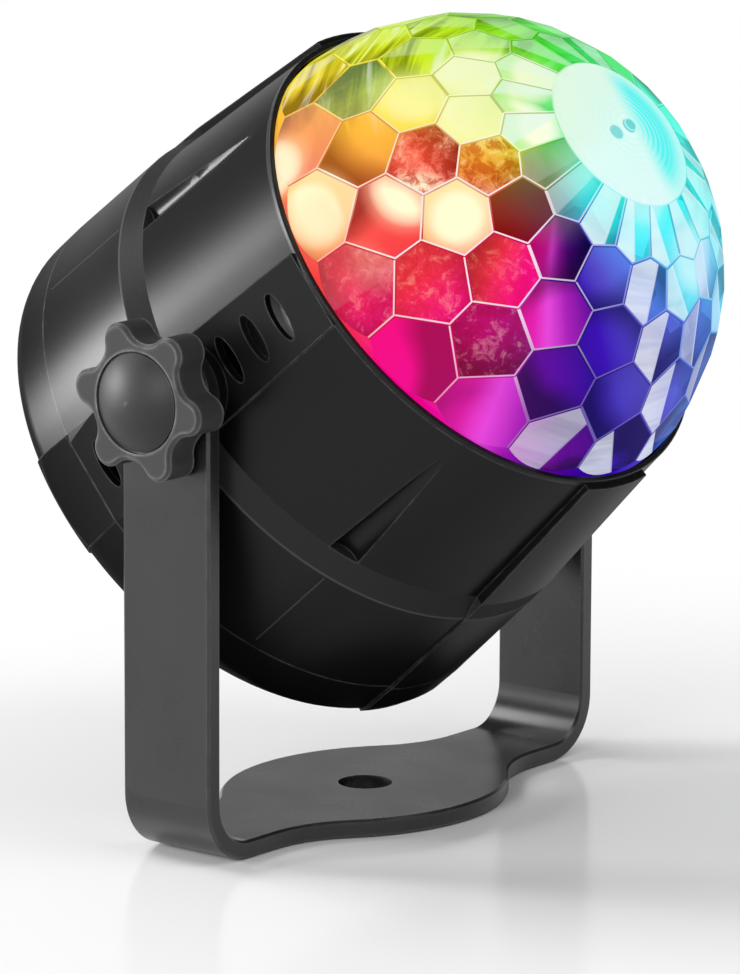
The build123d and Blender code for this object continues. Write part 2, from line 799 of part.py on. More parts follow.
def power_transformer():
    """A wound core between two flanges."""
    x, y = transformer_place
    middle = Pos(x, y, -driver_board_station + transformer_height / 2)
    core = middle * Box(transformer_length, transformer_core_width, transformer_height)
    winding = middle * Box(transformer_length - 2 * transformer_flange, transformer_width,
                           transformer_height - 2 * transformer_flange)
    return core + winding


def filter_capacitors():
    """Two upright cans."""
    cans = []
    for rise in capacitor_rises:
        can = rod(capacitor_radius, -driver_board_station, -driver_board_station + capacitor_height,
                  capacitor_shift, rise)
        top_edge = can.edges().filter_by(GeomType.CIRCLE).sort_by(Axis.Z)[-1]
        cans.append(chamfer(top_edge, capacitor_edge))
    return cans


def lead_header():
    """The plug that the light board's lead starts from."""
    x, y = header_place
    return Pos(x, y, -driver_board_station + header_height / 2) * Box(
        header_length, header_width, header_height)


def led_lead():
    """The lead from the header up to the light board, bowed outwards a little."""
    x, y = header_place
    start = -driver_board_station + header_height
    run = (sink_face - start) / 4
    points = [Vector(x, y, start), Vector(x, y, start + run), Vector(x, y + lead_bow, start + 2 * run),
              Vector(x, y, start + 3 * run), Vector(x, y, sink_face)]
    radii = []
    for before, corner, after in zip(points, points[1:], points[2:]):
        turn = (corner - before).get_angle(after - corner)
        shorter = min((corner - before).length, (after - corner).length)
        radii.append(curve_share * shorter / tan(radians(turn / 2)))
    route = FilletPolyline(*points, radius=radii)
    return sweep(Plane(route @ 0, z_dir=route % 0) * Circle(lead_radius), path=route)


# Dome
def facet_planes():
    """The planes of all facets, ring by ring, each ring shifted by half a facet."""
    step = full_turn / facets_per_ring
    centre = Vector(0, 0, dome_centre_station)
    for number, (polar, rise) in enumerate(zip(facet_ring_angles, facet_ring_rises)):
        shift = facet_phase + step / 2 * (number % 2)
        for count in range(facets_per_ring):
            turn = radians(shift + step * count)
            outward = Vector(sin(radians(polar)) * cos(turn), sin(radians(polar)) * sin(turn),
                             cos(radians(polar)))
            yield Plane(origin=centre + outward * (dome_radius + rise), z_dir=outward)


def pole_lens():
    """The plain crown at the pole, with the nub at its middle."""
    crown = Pos(0, 0, dome_centre_station) * Sphere(pole_lens_crown_radius)
    crown &= rod(pole_lens_radius, dome_centre_station + dome_inner_radius / 2,
                 dome_centre_station + dome_radius + overrun)
    top = dome_centre_station + pole_lens_crown_radius
    return crown + rod(pole_nub_radius, top - overrun, top + pole_nub_height)


def faceted_dome():
    """The clear dome: a blank cut by facets, hollowed, with a hub on its axis."""
    top = dome_centre_station + dome_radius
    blank = rod(dome_skirt_radius, dome_skirt_station, top)
    for plane in facet_planes():
        blank = blank.split(plane, keep=Keep.BOTTOM)
    blank -= rod(pole_lens_radius, dome_centre_station + dome_inner_radius / 2, top + overrun)
    blank += pole_lens()
    hollow = Pos(0, 0, dome_centre_station) * Sphere(dome_inner_radius)
    hollow += rod(dome_inner_radius, dome_skirt_station - overrun, dome_centre_station)
    shell = blank - hollow
    shell += rod(hub_radius, hub_station, hub_station + hub_length + shaft_end_gap)
    return shell - rod(shaft_radius + seat_clearance, hub_station - overrun,
                       hub_station + hub_length + seat_clearance)


def hub_clip():
    """The push-on clip under the hub."""
    return ring(hub_clip_radius, shaft_radius + seat_clearance, hub_station - hub_clip_thickness,
                hub_station)


# Knobs, studs and washers, drawn on the right side
def knob_outline():
    """Six round lobes with hollows between them."""
    lobe_place = knob_tip_radius - knob_lobe_radius
    outline = Circle(knob_valley_radius)
    for number in range(knob_lobes):
        turn = Rot(0, 0, knob_lobe_angle + full_turn / knob_lobes * number)
        outline += turn * Pos(lobe_place, 0) * Circle(knob_lobe_radius)
    return fillet(outline.vertices(), knob_lobe_fillet)


def knob():
    """The star knob, with a seat for its cap and a hexagonal pocket."""
    sketch = Plane(origin=(knob_washer_outer_face, pivot_rise, 0), x_dir=(0, 1, 0), z_dir=(1, 0, 0))
    star = sketch * extrude(knob_outline(), knob_thickness)
    face_edges = star.faces().sort_by(Axis.X)[-1].edges()
    star = chamfer(face_edges, knob_edge)
    star -= across(cap_radius + cap_groove, cap_seat, knob_face + overrun)
    pocket = sketch * extrude(RegularPolygon(stud_head_radius + seat_clearance, hexagon_sides),
                              cap_seat - knob_washer_outer_face + overrun)
    floor = cap_seat - stud_head_height
    star -= Pos(floor - knob_washer_outer_face, 0, 0) * pocket
    return star - across(stud_radius + seat_clearance, knob_washer_outer_face - overrun, floor + overrun)


def knob_cap():
    """The domed cap in the knob's face."""
    rim = cap_seat + cap_rim_height
    outline = [Polyline((0, 0, rim + cap_dome_height), (0, 0, cap_seat), (cap_radius, 0, cap_seat),
                        (cap_radius, 0, rim)),
               crown_arc(cap_radius, rim, cap_dome_height)]
    cap = revolve(make_face(outline), Axis.Z, full_turn)
    return Pos(0, pivot_rise, 0) * Rot(0, quarter_turn, 0) * cap


def knob_stud():
    """The stud, its hexagon head in the knob and its shank in the brass insert."""
    floor = cap_seat - stud_head_height
    shank = across(stud_radius, boss_inner_face + stud_tip_setback, floor)
    head_plane = Plane(origin=(floor, pivot_rise, 0), x_dir=(0, 1, 0), z_dir=(1, 0, 0))
    return shank + head_plane * extrude(RegularPolygon(stud_head_radius, hexagon_sides), stud_head_height)


def knob_washer():
    """The steel washer between the knob and the arm."""
    return across_ring(washer_radius, stud_radius + stud_clearance, arm_outer_face + washer_gap,
                       knob_washer_outer_face)


def friction_washer():
    """The rubber ring between the barrel's boss and the arm."""
    return across_ring(washer_radius, stud_radius + stud_clearance, boss_outer_face,
                       arm_inner_face - washer_gap)


def pivot_insert():
    """The brass insert in the boss, grooved round its middle."""
    sleeve = across_ring(insert_radius, stud_radius + running_clearance, boss_inner_face, boss_outer_face)
    middle = (boss_inner_face + boss_outer_face) / 2
    return sleeve - across_ring(insert_radius + overrun, insert_radius - insert_groove_depth,
                                middle - insert_groove_width / 2, middle + insert_groove_width / 2)


os.makedirs("parts", exist_ok=True)
save("yoke_bracket", yoke_bracket())
save("barrel_housing", placed(barrel_housing()))
save("bezel_ring", placed(bezel_ring()))
save("rear_cover", placed(rear_cover()))
save("cover_screws", *[placed(screw) for screw in cover_screws()])
save("cord_gland", placed(cord_gland()))
save("microphone", placed(microphone()))
save("heat_sink", placed(heat_sink()))
save("light_board", placed(light_board()))
save("led_emitters", *[placed(emitter) for emitter in led_emitters()])
save("led_lenses", *[placed(lens) for lens in led_lenses()])
save("reflector_tray", placed(reflector_tray()))
save("tray_screws", *[placed(screw) for screw in tray_screws()])
save("motor_bracket", placed(motor_bracket()))
save("motor_standoffs", *[placed(pillar) for pillar in motor_standoffs()])
save("motor_screws", *[placed(screw) for screw in motor_screws()])
save("motor_gearbox", placed(motor_gearbox()))
save("gear_motor", placed(gear_motor()))
save("motor_leads", *[placed(lead) for lead in motor_leads()])
save("drive_shaft", placed(drive_shaft()))
save("driver_board", placed(driver_board()))
save("board_screws", *[placed(screw) for screw in board_screws()])
save("power_transformer", placed(power_transformer()))
save("filter_capacitors", *[placed(can) for can in filter_capacitors()])
save("lead_header", placed(lead_header()))
save("led_lead", placed(led_lead()))
save("faceted_dome", placed(faceted_dome()))
save("hub_clip", placed(hub_clip()))
right_pieces = {"knob": knob(), "knob_cap": knob_cap(), "knob_stud": knob_stud(),
                "knob_washer": knob_washer(), "friction_washer": friction_washer(),
                "pivot_insert": pivot_insert()}
for name, piece in right_pieces.items():
    save(f"right_{name}", placed(piece))
    save(f"left_{name}", placed(mirrored(piece)))
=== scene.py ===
import bpy
import json
import math
import random
from types import SimpleNamespace
from mathutils import Matrix, Vector


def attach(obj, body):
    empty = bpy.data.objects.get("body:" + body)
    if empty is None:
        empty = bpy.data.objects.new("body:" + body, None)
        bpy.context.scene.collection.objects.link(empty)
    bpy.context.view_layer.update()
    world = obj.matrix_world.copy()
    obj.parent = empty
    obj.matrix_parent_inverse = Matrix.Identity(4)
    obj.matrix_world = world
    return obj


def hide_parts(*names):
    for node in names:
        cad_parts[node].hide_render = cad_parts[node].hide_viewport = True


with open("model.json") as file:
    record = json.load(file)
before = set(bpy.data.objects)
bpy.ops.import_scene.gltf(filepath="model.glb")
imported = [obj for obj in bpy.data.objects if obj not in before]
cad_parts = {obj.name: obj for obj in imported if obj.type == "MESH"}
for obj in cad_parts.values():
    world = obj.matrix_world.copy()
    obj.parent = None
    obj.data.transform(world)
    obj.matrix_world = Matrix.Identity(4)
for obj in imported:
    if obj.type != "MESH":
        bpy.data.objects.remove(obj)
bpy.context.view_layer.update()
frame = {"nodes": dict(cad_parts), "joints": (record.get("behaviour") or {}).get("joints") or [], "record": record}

millimetre = 0.001
joints = {joint["name"]: joint for joint in frame["joints"]}
pivot = Vector(joints["head_tilt"]["pos_m"])
head_axis = Vector(joints["dome_spin"]["axis"])
head_up = head_axis.cross(Vector((1, 0, 0)))
barrel_middle = Vector(joints["dome_spin"]["pos_m"])
dome_station = 25.8
dome_centre = barrel_middle + millimetre * dome_station * head_axis


# camera, with its angles in degrees and its lengths in millimetres

view_heading, view_dip, view_roll = 51.443, 11.661, 0.239
camera_right, camera_up, camera_back = 0.494, -21.939, 961.33
focal_length = 218.89
film_width = 36


def photo_axes():
    """Right, up and forward of the photographed view."""
    heading, dip, roll = math.radians(view_heading), math.radians(view_dip), math.radians(view_roll)
    level = Vector((math.sin(heading), math.cos(heading), 0))
    forward = math.cos(dip) * level - math.sin(dip) * Vector((0, 0, 1))
    lift = math.sin(dip) * level + math.cos(dip) * Vector((0, 0, 1))
    side = forward.cross(lift)
    right = math.cos(roll) * side + math.sin(roll) * lift
    up = -math.sin(roll) * side + math.cos(roll) * lift
    return right, up, forward


photo_right, photo_up, photo_forward = photo_axes()


def place_camera():
    """Stands the camera off the pivot as in the photograph."""
    lens = bpy.data.cameras.new("photo_camera")
    lens.sensor_fit = 'AUTO'
    lens.sensor_width = film_width
    lens.lens = focal_length
    lens.clip_end = 50
    camera = bpy.data.objects.new("photo_camera", lens)
    aside = camera_right * photo_right + camera_up * photo_up - camera_back * photo_forward
    turn = Matrix((photo_right, photo_up, -photo_forward)).transposed().to_4x4()
    camera.matrix_world = Matrix.Translation(pivot + millimetre * aside) @ turn
    bpy.context.scene.collection.objects.link(camera)
    bpy.context.scene.camera = camera


# node helpers

def add(tree, kind, **settings):
    made = tree.nodes.new(kind)
    for name, value in settings.items():
        setattr(made, name, value)
    return made


def join(tree, source, target):
    """Links a socket, or sets a plain value."""
    if isinstance(source, bpy.types.NodeSocket):
        tree.links.new(source, target)
    else:
        target.default_value = source


def reckon(tree, operation, *values, clamp=False):
    made = add(tree, "ShaderNodeMath", operation=operation, use_clamp=clamp)
    for place, value in enumerate(values):
        join(tree, value, made.inputs[place])
    return made.outputs[0]


def plus(tree, first, second):
    return reckon(tree, 'ADD', first, second)


def times(tree, first, second, clamp=False):
    return reckon(tree, 'MULTIPLY', first, second, clamp=clamp)


def larger(tree, first, second):
    return reckon(tree, 'MAXIMUM', first, second)


def within(tree, value, middle, margin):
    """1 where the value lies closer to the middle than the margin."""
    off = reckon(tree, 'ABSOLUTE', reckon(tree, 'SUBTRACT', value, middle))
    return reckon(tree, 'LESS_THAN', off, margin)


def arrange(tree, operation, *values):
    """Vector arithmetic."""
    made = add(tree, "ShaderNodeVectorMath", operation=operation)
    for place, value in enumerate(values):
        target = made.inputs["Scale"] if operation == 'SCALE' and place == 1 else made.inputs[place]
        join(tree, value, target)
    return made.outputs["Value"] if operation in ('DOT_PRODUCT', 'LENGTH') else made.outputs[0]


def moved(tree, place, shift):
    return arrange(tree, 'ADD', place, shift)


def scaled(tree, arm, factor):
    return arrange(tree, 'SCALE', arm, factor)


def away(tree, place, centre):
    """The arm from a centre to a place."""
    return arrange(tree, 'SUBTRACT', place, centre)


def dot(tree, first, second):
    return arrange(tree, 'DOT_PRODUCT', first, second)


def reach(tree, arm, direction):
    """How far an arm goes along a direction, in millimetres."""
    return times(tree, dot(tree, arm, direction), 1 / millimetre)


def size(tree, arm):
    """Length of an arm, in millimetres."""
    return times(tree, arrange(tree, 'LENGTH', arm), 1 / millimetre)


def gap(tree, place, centre):
    """Distance between two places, in millimetres."""
    return size(tree, away(tree, place, centre))


def spread(tree, value, low, high, new_low, new_high, smooth=False):
    """Carries the range from low to high over to the new one, and stays at its ends outside."""
    made = add(tree, "ShaderNodeMapRange", interpolation_type='SMOOTHSTEP' if smooth else 'LINEAR')
    for name, given in (("Value", value), ("From Min", low), ("From Max", high),
                        ("To Min", new_low), ("To Max", new_high)):
        join(tree, given, made.inputs[name])
    return made.outputs[0]


def opaque(colour):
    """A plain colour with its fourth value, and a socket as it is."""
    return (*colour, 1) if isinstance(colour, tuple) else colour


def blend(tree, mask, under, over, kind='MIX'):
    made = add(tree, "ShaderNodeMix", data_type='RGBA', blend_type=kind)
    join(tree, mask, made.inputs[0])
    join(tree, opaque(under), made.inputs[6])
    join(tree, opaque(over), made.inputs[7])
    return made.outputs[2]


# multiplies two colours; the dome darkens its painted light with it
def multiplied(tree, colour, multiplier):
    return blend(tree, 1.0, colour, multiplier, 'MULTIPLY')


def parts(tree, value):
    """The three numbers of a vector or a colour."""
    made = add(tree, "ShaderNodeSeparateXYZ")
    join(tree, value, made.inputs[0])
    return made.outputs


def noise(tree, place, scale, detail=2.0, roughness=0.5, distortion=0.0):
    made = add(tree, "ShaderNodeTexNoise")
    for name, given in (("Vector", place), ("Scale", scale), ("Detail", detail),
                        ("Roughness", roughness), ("Distortion", distortion)):
        join(tree, given, made.inputs[name])
    return made.outputs[0]


def ramp(tree, value, stops):
    made = add(tree, "ShaderNodeValToRGB")
    points = made.color_ramp.elements
    while len(points) < len(stops):
        points.new(0.5)
    for point, (place, colour) in zip(points, stops):
        point.position = place
        point.color = opaque(colour)
    join(tree, value, made.inputs[0])
    return made.outputs[0]


def here(tree):
    return add(tree, "ShaderNodeTexCoord").outputs["Object"]


def facing(tree):
    return add(tree, "ShaderNodeNewGeometry").outputs["Normal"]


number, vector = "NodeSocketFloat", "NodeSocketVector"


def new_group(name, inputs, outputs):
    """An effect group, with inputs as name, kind and value and outputs as names of numbers."""
    tree = bpy.data.node_groups.new(name, "ShaderNodeTree")
    for title, kind, value in inputs:
        socket = tree.interface.new_socket(name=title, in_out='INPUT', socket_type=kind)
        socket.default_value = value
    for title in outputs:
        tree.interface.new_socket(name=title, in_out='OUTPUT', socket_type=number)
    return tree, add(tree, "NodeGroupInput").outputs, add(tree, "NodeGroupOutput").inputs


def use(tree, group, **values):
    """Puts an effect group into a finish and returns what it gives."""
    made = add(tree, "ShaderNodeGroup", node_tree=group)
    for name, value in values.items():
        join(tree, value, made.inputs[name.replace("_", " ").capitalize()])
    return made.outputs


# surface effects

def moulded_grain():
    """Fine spark grain of a moulded shell over a slow unevenness of the wall."""
    inputs = [("Scale", number, 900.0), ("Slow share", number, 0.3)]
    tree, given, out = new_group("moulded grain", inputs, ["Height"])
    fine = noise(tree, here(tree), given["Scale"], 3, 0.6)
    slow = noise(tree, here(tree), 38.0, 1)
    join(tree, plus(tree, fine, times(tree, slow, given["Slow share"])), out["Height"])
    return tree


def rubbed_and_highlit_edges():
    """Mask of the outer edges that hands and boxes rub, over a width in metres; the finishes lighten it as wear
    and as painted highlight.
    """
    inputs = [("Width", number, 0.0006), ("Break up", number, 400.0)]
    tree, given, out = new_group("rubbed edges", inputs, ["Mask"])
    rounded = add(tree, "ShaderNodeBevel", samples=4)
    join(tree, given["Width"], rounded.inputs["Radius"])
    edge = spread(tree, dot(tree, rounded.outputs[0], facing(tree)), 0.995, 0.85, 0.0, 1.0)
    specks = noise(tree, here(tree), given["Break up"], 2)
    join(tree, times(tree, edge, spread(tree, specks, 0.35, 0.65, 0.35, 1.0)), out["Mask"])
    return tree


def handling():
    """Slow changes of sheen from handling, with fine dust on what faces up."""
    inputs = [("Scale", number, 60.0), ("Low", number, 0.3), ("High", number, 0.45), ("Dust", number, 0.3)]
    tree, given, out = new_group("handling", inputs, ["Roughness", "Dust mask"])
    slow = noise(tree, here(tree), given["Scale"], 4, 0.6, 0.4)
    join(tree, spread(tree, slow, 0.3, 0.7, given["Low"], given["High"]), out["Roughness"])
    specks = spread(tree, noise(tree, here(tree), 1600.0, 2, 0.7), 0.66, 0.72, 0.0, 1.0)
    upward = spread(tree, parts(tree, facing(tree))[2], -0.1, 0.9, 0.0, 1.0)
    join(tree, times(tree, times(tree, specks, upward), given["Dust"]), out["Dust mask"])
    return tree


def drawn_lines():
    """Brushing lines that run along one axis, given as a stretch of the position."""
    inputs = [("Stretch", vector, (1, 30, 30)), ("Scale", number, 60.0)]
    tree, given, out = new_group("drawn lines", inputs, ["Height"])
    stretched = arrange(tree, 'MULTIPLY', here(tree), given["Stretch"])
    join(tree, noise(tree, stretched, given["Scale"], 3, 0.7), out["Height"])
    return tree


def turned_rings():
    """Concentric lathe rings round an axis through a centre, with their pitch in millimetres."""
    inputs = [("Centre", vector, (0, 0, 0)), ("Axis", vector, (1, 0, 0)), ("Pitch", number, 0.4)]
    tree, given, out = new_group("turned rings", inputs, ["Height"])
    arm = away(tree, here(tree), given["Centre"])
    from_axis = size(tree, arrange(tree, 'CROSS_PRODUCT', arm, given["Axis"]))
    turns = reckon(tree, 'DIVIDE', from_axis, given["Pitch"])
    wobble = noise(tree, here(tree), 300.0, 2)
    wave = reckon(tree, 'SINE', plus(tree, times(tree, turns, 2 * math.pi), wobble))
    join(tree, spread(tree, wave, -1.0, 1.0, 0.0, 1.0), out["Height"])
    return tree


# stations on the barrel, in millimetres forward of its middle
parting_middle, half_parting = -13.9, 9.0
step_rear, step_front = -4.3, 0.0
dull_start, dull_end = -10.0, -38.0
matt_black = (0.024, 0.024, 0.025)


def barrel_marks():
    """Masks of the shell's painted highlight lines, matt step and dull rear, with half a line's width in
    millimetres.
    """
    inputs = [("Width", number, 0.2)]
    tree, given, out = new_group("barrel marks", inputs, ["Lines", "Step", "Dull rear"])
    arm = away(tree, here(tree), barrel_middle)
    station = reach(tree, arm, head_axis)
    aside = reckon(tree, 'ABSOLUTE', reach(tree, arm, (1, 0, 0)))
    rise = reckon(tree, 'ABSOLUTE', reach(tree, arm, head_up))
    # light lines on the mould's parting lines and the step's rear edge, painted as highlights
    diagonal = within(tree, aside, rise, given["Width"])
    parting = times(tree, diagonal, within(tree, station, parting_middle, half_parting))
    step_edge = within(tree, station, step_rear, given["Width"])
    join(tree, larger(tree, times(tree, parting, 0.4), times(tree, step_edge, 0.5)), out["Lines"])
    step_middle, half_step = 0.5 * (step_rear + step_front), 0.5 * (step_front - step_rear)
    join(tree, within(tree, station, step_middle, half_step), out["Step"])
    join(tree, spread(tree, station, dull_start, dull_end, 0.0, 1.0, smooth=True), out["Dull rear"])
    return tree


grain, edges, touch = moulded_grain(), rubbed_and_highlit_edges(), handling()
drawn, turned, marks = drawn_lines(), turned_rings(), barrel_marks()


# finishes

def start(name):
    material = bpy.data.materials.new(name)
    material.use_nodes = True
    tree = material.node_tree
    shader = next(made for made in tree.nodes if made.type == 'BSDF_PRINCIPLED')
    return material, tree, shader


def feed(tree, shader, values):
    """Joins each value to the shader's socket of that name."""
    for name, value in values.items():
        join(tree, value, shader.inputs[name])


def bump(tree, shader, height, strength, depth=0.1):
    """Raises the surface by a height, with the depth in millimetres."""
    made = add(tree, "ShaderNodeBump")
    for name, given in (("Strength", strength), ("Distance", millimetre * depth), ("Height", height)):
        join(tree, given, made.inputs[name])
    join(tree, made.outputs[0], shader.inputs["Normal"])


def on_barrel(tree, wear_and_highlight, body, coat, sheen):
    """Lays the barrel's painted highlight lines, matt step and duller rear over what its finish is made of."""
    mark = use(tree, marks)
    wear_and_highlight = larger(tree, wear_and_highlight, mark["Lines"])
    body = blend(tree, mark["Step"], body, matt_black)
    coat = spread(tree, mark["Step"], 0.0, 1.0, coat, 0.1)
    coat = times(tree, coat, spread(tree, mark["Dull rear"], 0.0, 1.0, 1.0, 0.25))
    sheen = larger(tree, sheen, times(tree, mark["Step"], 0.6))
    return wear_and_highlight, body, coat, sheen


def moulded(name, body, rubbed_and_highlit, rough, grain_scale, grain_strength, specular,
            edge=0.6, dust=0.25, coat=0.0, barrel=False):
    """A moulded or coated surface with grain, dust and edges lightened as wear and as painted highlight, of a
    width in millimetres.
    """
    material, tree, shader = start(name)
    low, high = rough
    wear_and_highlight = use(tree, edges, width=millimetre * edge)["Mask"]
    touched = use(tree, touch, low=low, high=high, dust=dust)
    sheen = touched["Roughness"]
    if barrel:
        wear_and_highlight, body, coat, sheen = on_barrel(tree, wear_and_highlight, body, coat, sheen)
    dusty = tuple(min(1.0, 0.25 + part) for part in rubbed_and_highlit)
    # the edges take the paler colour, partly wear and partly a painted highlight
    shade = blend(tree, wear_and_highlight, body, rubbed_and_highlit)
    feed(tree, shader, {"Base Color": blend(tree, touched["Dust mask"], shade, dusty),
                        "Roughness": sheen,
                        "Specular IOR Level": specular,
                        "Coat Weight": coat,
                        "Coat Roughness": 0.5 * (low + high)})
    bump(tree, shader, use(tree, grain, scale=grain_scale)["Height"], grain_strength)
    return material


def metal(name, body, dark, rough, lines, **layout):
    """Bare metal with the lines of its making, drawn along one axis or turned round one."""
    material, tree, shader = start(name)
    low, high = rough
    height = use(tree, lines, **layout)["Height"]
    feed(tree, shader, {"Base Color": blend(tree, height, dark, body),
                        "Roughness": use(tree, touch, low=low, high=high, dust=0.1)["Roughness"],
                        "Metallic": 1.0})
    bump(tree, shader, height, 0.25)
    return material


def clear_lens():
    material, tree, shader = start("clear acrylic lens")
    tint = noise(tree, here(tree), 120.0, 2)
    feed(tree, shader, {"Base Color": blend(tree, tint, (0.92, 0.96, 1.0), (1, 1, 1)),
                        "Roughness": use(tree, touch, low=0.03, high=0.08, dust=0.1)["Roughness"],
                        "Transmission Weight": 0.9,
                        "IOR": 1.49})
    bump(tree, shader, use(tree, grain, scale=200.0)["Height"], 0.05)
    return material


# the paler colour of each finish goes on its edges, partly as wear and partly as a painted highlight
moulded_finishes = {
    "housing_black": dict(
        name="satin black shell", body=(0.004, 0.004, 0.0045), rubbed_and_highlit=(0.08, 0.08, 0.083),
        rough=(0.28, 0.34), grain_scale=1100.0, grain_strength=0.10, specular=0.0,
        edge=0.45, dust=0.08, coat=0.42, barrel=True),
    "bezel_black": dict(
        name="satin black ring", body=(0.004, 0.004, 0.005), rubbed_and_highlit=(0.02, 0.02, 0.02),
        rough=(0.32, 0.40), grain_scale=1400.0, grain_strength=0.05, specular=0.2),
    "bracket_paint": dict(
        name="charcoal powder coat", body=(0.009, 0.009, 0.0095), rubbed_and_highlit=(0.06, 0.06, 0.063),
        rough=(0.25, 0.32), grain_scale=1200.0, grain_strength=0.06, specular=0.58,
        edge=0.8, dust=0.06),
    "knob_black": dict(
        name="grey black knob", body=(0.034, 0.034, 0.035), rubbed_and_highlit=(0.20, 0.20, 0.205),
        rough=(0.40, 0.48), grain_scale=900.0, grain_strength=0.15, specular=0.18,
        edge=0.9, dust=0.08),
    "cap_grey": dict(
        name="smooth grey cap", body=(0.013, 0.013, 0.014), rubbed_and_highlit=(0.08, 0.08, 0.08),
        rough=(0.46, 0.52), grain_scale=1200.0, grain_strength=0.05, specular=0.35,
        edge=0.4, dust=0.05),
    "rubber_black": dict(
        name="black rubber", body=(0.018, 0.018, 0.019), rubbed_and_highlit=(0.03, 0.03, 0.03),
        rough=(0.65, 0.8), grain_scale=1300.0, grain_strength=0.5, specular=0.25),
    "tray_white": dict(
        name="white tray", body=(0.78, 0.78, 0.76), rubbed_and_highlit=(0.85, 0.85, 0.83),
        rough=(0.3, 0.4), grain_scale=900.0, grain_strength=0.1, specular=0.5),
    "board_white": dict(
        name="white solder mask", body=(0.8, 0.81, 0.8), rubbed_and_highlit=(0.85, 0.85, 0.84),
        rough=(0.25, 0.35), grain_scale=1500.0, grain_strength=0.1, specular=0.5),
    "board_green": dict(
        name="green solder mask", body=(0.02, 0.16, 0.07), rubbed_and_highlit=(0.1, 0.3, 0.15),
        rough=(0.25, 0.35), grain_scale=1500.0, grain_strength=0.15, specular=0.5),
    "emitter_yellow": dict(
        name="yellow emitter", body=(0.9, 0.72, 0.2), rubbed_and_highlit=(0.95, 0.85, 0.5),
        rough=(0.15, 0.25), grain_scale=1500.0, grain_strength=0.05, specular=0.5),
    "transformer_tape": dict(
        name="amber winding tape", body=(0.7, 0.5, 0.1), rubbed_and_highlit=(0.8, 0.62, 0.25),
        rough=(0.25, 0.4), grain_scale=300.0, grain_strength=0.3, specular=0.5),
    "capacitor_sleeve": dict(
        name="dark blue sleeve", body=(0.01, 0.015, 0.06), rubbed_and_highlit=(0.1, 0.12, 0.2),
        rough=(0.2, 0.3), grain_scale=800.0, grain_strength=0.1, specular=0.5),
    "header_white": dict(
        name="cream nylon", body=(0.8, 0.76, 0.65), rubbed_and_highlit=(0.85, 0.82, 0.75),
        rough=(0.4, 0.55), grain_scale=900.0, grain_strength=0.2, specular=0.4),
    "lead_red": dict(
        name="red lead jacket", body=(0.4, 0.02, 0.015), rubbed_and_highlit=(0.5, 0.06, 0.05),
        rough=(0.35, 0.5), grain_scale=900.0, grain_strength=0.2, specular=0.4),
}
metal_finishes = {
    "steel": dict(
        name="turned steel", body=(0.62, 0.62, 0.64), dark=(0.45, 0.45, 0.47),
        rough=(0.22, 0.34), lines=turned, centre=pivot, axis=(1, 0, 0)),
    "gearbox_steel": dict(
        name="drawn steel can", body=(0.55, 0.55, 0.56), dark=(0.4, 0.4, 0.41),
        rough=(0.28, 0.4), lines=drawn, stretch=(30, 1, 30)),
    "brass": dict(
        name="turned brass", body=(0.8, 0.6, 0.25), dark=(0.6, 0.42, 0.15),
        rough=(0.22, 0.34), lines=turned, centre=pivot, axis=(1, 0, 0)),
    "sink_aluminium": dict(
        name="milled aluminium", body=(0.78, 0.79, 0.8), dark=(0.6, 0.61, 0.62),
        rough=(0.3, 0.42), lines=drawn, stretch=(1, 30, 30)),
}


def finishes():
    """A material for every slot."""
    ready = {slot: moulded(**recipe) for slot, recipe in moulded_finishes.items()}
    ready.update({slot: metal(**recipe) for slot, recipe in metal_finishes.items()})
    ready["lens_clear"] = clear_lens()
    return ready


# dome, with its lengths in millimetres and its angles from the head's axis in degrees

facet_rings = (74.0, 62.6, 49.95, 37.3, 25.9)
facets_round = 18
facets_start, facets_end = 84.5, 19.0
ridges_end = 21.5
flat_angle, facet_tolerance, smooth_angle = 0.5, 0.4, 3.0
inner_radius, facet_radius, pole_radius = 38.5, 40.4, 40.5
ridge_width = 0.34
collar_height, pole_height = 3.0, 30.0
lens_radius, lens_softness, ripple_pitch = 13.4, 0.2, 1.1
weld_distance = 0.002
chance_seed = 21

# the facets that face the camera: for each ring, from the rim on, the number of its first facet, and then
# the brightness, turn of the hue and strength of the split of one facet after the other
ring_moods = (
    (4, [(0.90, 0.00, 0.2), (0.60, 0.00, 0.2), (0.65, 0.00, 0.3), (0.85, 0.02, 0.0), (1.00, -0.05, 0.0),
         (0.80, 0.03, 0.05), (1.15, 0.015, 0.0), (1.00, 0.00, 0.0), (0.80, -0.02, 0.5),
         (0.70, 0.00, 0.75)]),
    (4, [(0.90, 0.00, 0.2), (0.75, -0.01, 0.1), (0.36, -0.075, 0.0), (0.90, 0.00, 0.0), (1.00, 0.00, 0.0),
         (0.90, -0.01, 0.0), (0.55, -0.01, 0.0), (0.90, 0.00, 0.0), (0.80, 0.01, 0.0)]),
    (3, [(0.85, 0.00, 0.3), (0.75, 0.00, 0.2), (0.90, 0.00, 0.2), (0.95, -0.02, 0.2), (1.00, -0.03, 0.0),
         (0.85, 0.05, 0.0), (1.00, -0.08, 0.0), (1.00, -0.075, 0.0), (1.10, -0.045, 0.0),
         (0.90, 0.01, 0.0)]),
    (3, [(0.85, 0.00, 0.3), (0.90, 0.00, 0.3), (0.95, -0.01, 0.3), (1.00, -0.02, 0.2), (1.00, -0.04, 0.0),
         (0.85, 0.01, 0.0), (0.30, -0.06, 0.0), (0.55, -0.02, 0.0), (0.95, 0.00, 0.0), (0.85, 0.02, 0.9),
         (0.90, 0.05, 0.9)]),
    (4, [(0.90, 0.00, 0.4), (0.95, 0.00, 0.4), (1.00, -0.03, 0.4), (1.00, -0.03, 0.6), (1.00, -0.06, 0.8),
         (0.62, -0.015, 0.15), (0.75, 0.03, 0.35), (0.95, 0.06, 0.9), (0.93, 0.06, 0.9), (0.92, 0.04, 0.9),
         (0.92, 0.02, 0.9)]))
